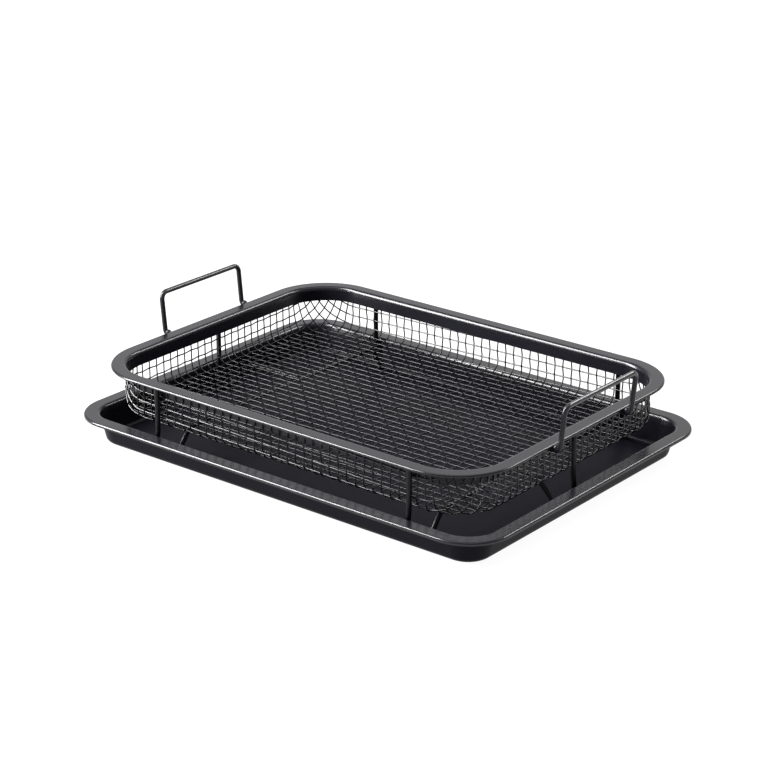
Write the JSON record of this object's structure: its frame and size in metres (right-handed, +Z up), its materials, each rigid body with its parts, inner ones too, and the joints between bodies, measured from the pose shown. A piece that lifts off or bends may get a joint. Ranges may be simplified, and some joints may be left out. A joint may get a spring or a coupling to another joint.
{
  "type": "crisper tray",
  "caption": "Shallow rectangular baking tray with a raised wire mesh basket on bent wire feet, with a bail handle at each end.",
  "frame": {"origin": "on the surface the tray stands on, below the middle of the tray", "axes": "+X along the length towards the right-hand handle, +Y across the width, +Z up out of the tray"},
  "size_m": [0.4, 0.298, 0.0969],
  "materials": {
    "tray_coating": "satin dark grey non-stick coating",
    "rim_coating": "satin dark grey non-stick coating",
    "mesh_coating": "semi-gloss black coating",
    "wire_coating": "glossy black coating"
  },
  "bodies": {
    "root": {"baking_tray": "tray_coating", "basket_rim": "rim_coating", "basket_mesh": "mesh_coating", "cross_support_left": "wire_coating", "cross_support_right": "wire_coating", "end_support_left": "wire_coating", "end_support_right": "wire_coating", "handle_left": "wire_coating", "handle_right": "wire_coating"}
  },
  "joints": []
}
